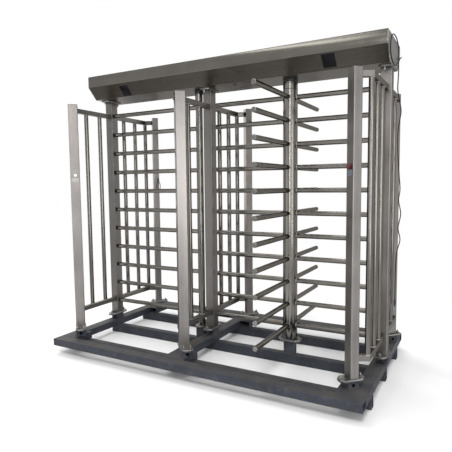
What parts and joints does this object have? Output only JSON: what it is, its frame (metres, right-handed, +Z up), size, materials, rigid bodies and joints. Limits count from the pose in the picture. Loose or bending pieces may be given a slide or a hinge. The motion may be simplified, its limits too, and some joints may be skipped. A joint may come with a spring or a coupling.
{
  "type": "full height turnstile",
  "caption": "Full height security turnstile on a welded ground frame: a four-wing rotor lane and a comb-leaf swing gate lane between barred guard cages, under one stainless header.",
  "frame": {"origin": "the middle of the footprint's bounding box, on the floor, under the lower cross beams", "axes": "+X along the header, from the gate lane to the rotor lane; +Y from the front, where the buttons are, to the back; +Z up"},
  "size_m": [2.6812, 1.517, 2.4699],
  "materials": {
    "brushed_steel": "brushed stainless steel, warm grey, satin",
    "bright_steel": "bright machined stainless steel",
    "frame_paint": "dark blue-grey paint, dusty on top",
    "black_gloss": "black gloss panel",
    "black_plastic": "black, satin",
    "red_plastic": "red, semi-gloss",
    "white_cap": "white, semi-gloss",
    "hard_steel": "plain machined steel",
    "coil_copper": "dark varnished coil",
    "box_grey": "light grey powder coat"
  },
  "bodies": {
    "frame": {"front_ground_beam": "frame_paint", "rear_ground_beam": "frame_paint", "left_runner": "frame_paint", "middle_runner": "frame_paint", "right_runner": "frame_paint", "front_cross_beam": "frame_paint", "middle_cross_beam": "frame_paint", "rear_cross_beam": "frame_paint", "left_header_post": "brushed_steel", "middle_header_post": "brushed_steel", "right_header_post": "brushed_steel", "left_front_post": "brushed_steel", "middle_front_post": "brushed_steel", "right_front_post": "brushed_steel", "left_rear_post": "brushed_steel", "middle_rear_post": "brushed_steel", "right_rear_post": "brushed_steel", "left_front_guard": "brushed_steel", "left_rear_guard": "brushed_steel", "middle_front_guard": "brushed_steel", "middle_rear_guard": "brushed_steel", "right_front_guard": "brushed_steel", "right_rear_guard": "brushed_steel", "header_casing": "brushed_steel", "header_lid": "brushed_steel", "header_left_end": "brushed_steel", "header_right_end": "brushed_steel", "header_channel": "hard_steel", "left_window": "black_gloss", "right_window": "black_gloss", "rotor_upper_bearing": "black_plastic", "rotor_foot_bearing": "bright_steel", "gate_upper_bearing": "black_plastic", "gate_foot_bearing": "bright_steel", "entry_coil": "coil_copper", "exit_coil": "coil_copper", "gate_coil": "coil_copper", "control_box": "box_grey", "left_button_bezel": "bright_steel", "right_button_bezel": "black_plastic", "cable_gland": "black_plastic", "header_cable_loop": "black_plastic", "header_cable_drop": "black_plastic", "cable_plug": "black_plastic", "rear_wire_loop": "black_plastic"},
    "rotor": {"rotor_arms": "brushed_steel", "rotor_head_sleeve": "brushed_steel", "rotor_shaft": "bright_steel", "rotor_index_disc": "hard_steel"},
    "gate": {"gate_leaf": "brushed_steel", "gate_shaft": "bright_steel", "gate_lock_disc": "hard_steel"},
    "entry_pawl": {"entry_pawl": "hard_steel"},
    "exit_pawl": {"exit_pawl": "hard_steel"},
    "gate_pawl": {"gate_pawl": "hard_steel"},
    "entry_plunger": {"entry_plunger": "hard_steel"},
    "exit_plunger": {"exit_plunger": "hard_steel"},
    "gate_plunger": {"gate_plunger": "hard_steel"},
    "left_button": {"left_button": "white_cap"},
    "right_button": {"right_button": "red_plastic"}
  },
  "joints": [
    {"name": "rotor_turn", "type": "hinge", "parent": "frame", "child": "rotor", "pos_m": [0.55849, 0.0015, 0.3], "axis": [0, 0, 1], "continuous": true},
    {"name": "gate_swing", "type": "hinge", "parent": "frame", "child": "gate", "pos_m": [-0.28151, 0.0015, 0.3], "axis": [0, 0, 1], "range_deg": [-90, 90]},
    {"name": "entry_pawl_turn", "type": "hinge", "parent": "frame", "child": "entry_pawl", "pos_m": [0.71649, -0.0785, 2.305], "axis": [0, 0, 1], "range_deg": [0, 8], "stiffness_Nm_per_rad": 2},
    {"name": "exit_pawl_turn", "type": "hinge", "parent": "frame", "child": "exit_pawl", "pos_m": [0.40049, 0.0815, 2.305], "axis": [0, 0, 1], "range_deg": [0, 8], "stiffness_Nm_per_rad": 2},
    {"name": "gate_pawl_turn", "type": "hinge", "parent": "frame", "child": "gate_pawl", "pos_m": [-0.38951, 0.0815, 2.305], "axis": [0, 0, 1], "range_deg": [0, 8], "stiffness_Nm_per_rad": 2},
    {"name": "entry_plunger_slide", "type": "slide", "parent": "frame", "child": "entry_plunger", "axis": [-1, 0, 0], "range_m": [0, 0.0072]},
    {"name": "exit_plunger_slide", "type": "slide", "parent": "frame", "child": "exit_plunger", "axis": [1, 0, 0], "range_m": [0, 0.0072]},
    {"name": "gate_plunger_slide", "type": "slide", "parent": "frame", "child": "gate_plunger", "axis": [1, 0, 0], "range_m": [0, 0.0072]},
    {"name": "left_button_press", "type": "slide", "parent": "frame", "child": "left_button", "axis": [-0.7071, 0.7071, 0], "range_m": [0, 0.002], "stiffness_N_per_m": 600},
    {"name": "right_button_press", "type": "slide", "parent": "frame", "child": "right_button", "axis": [0.7071, 0.7071, 0], "range_m": [0, 0.004], "stiffness_N_per_m": 600}
  ],
  "couplings": [
    {"joint": "entry_plunger_slide", "follows": "entry_pawl_turn", "m_per_rad": 0.05},
    {"joint": "exit_plunger_slide", "follows": "exit_pawl_turn", "m_per_rad": 0.05},
    {"joint": "gate_plunger_slide", "follows": "gate_pawl_turn", "m_per_rad": 0.05}
  ]
}
